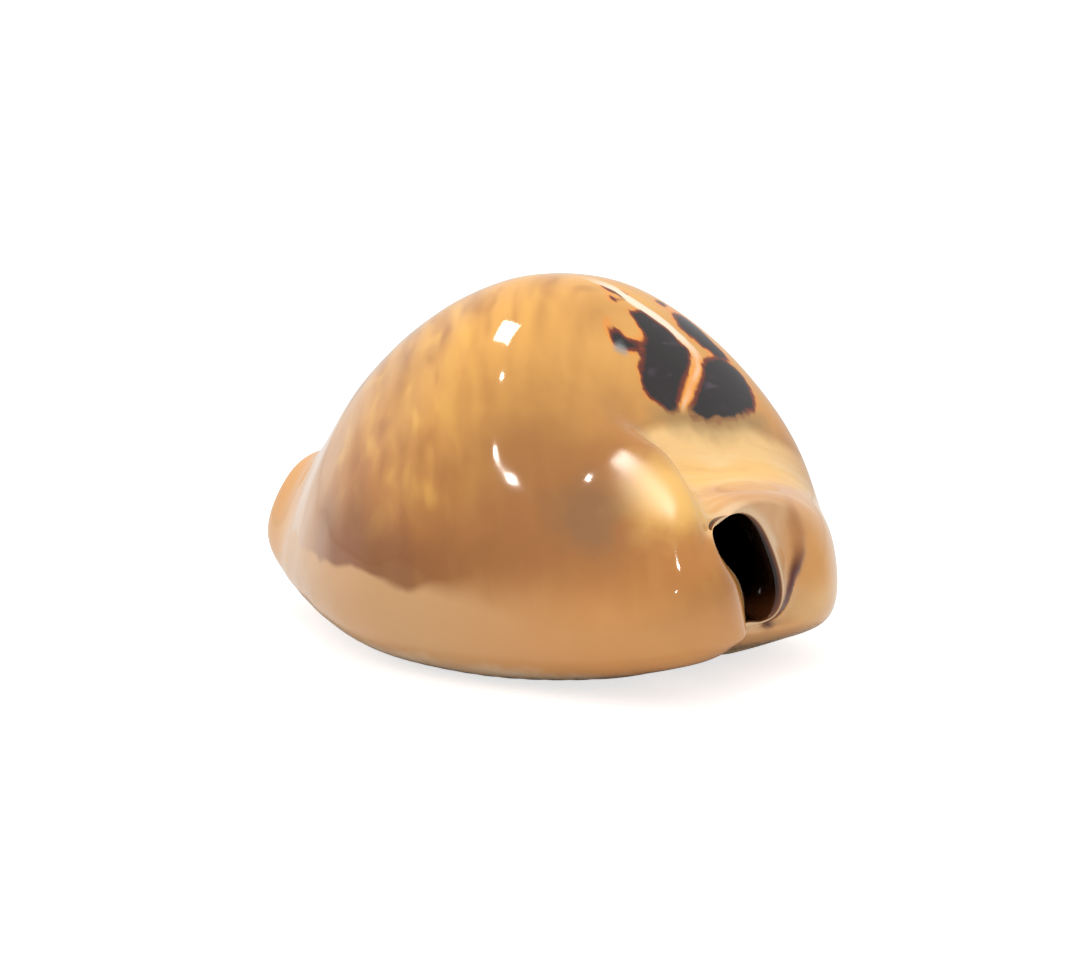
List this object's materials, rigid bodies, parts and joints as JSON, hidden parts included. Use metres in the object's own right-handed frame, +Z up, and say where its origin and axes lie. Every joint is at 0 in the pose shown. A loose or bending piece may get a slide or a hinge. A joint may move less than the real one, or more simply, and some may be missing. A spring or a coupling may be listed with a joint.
{
  "type": "cowrie shell",
  "caption": "Humped cowrie shell with a glossy tan back, a toothed slit along its base and a canal at each end, resting on a small flat spot.",
  "frame": {"origin": "centre of the shell's footprint box, on the surface it rests on", "axes": "+X along the shell towards its back end, with the wide canal; +Y towards the outer lip; +Z up through the domed back"},
  "size_m": [0.05, 0.0334, 0.0264],
  "materials": {
    "cowrie_shell": "polished natural enamel, glossy"
  },
  "bodies": {
    "root": {"cowrie_shell": "cowrie_shell"}
  },
  "joints": []
}
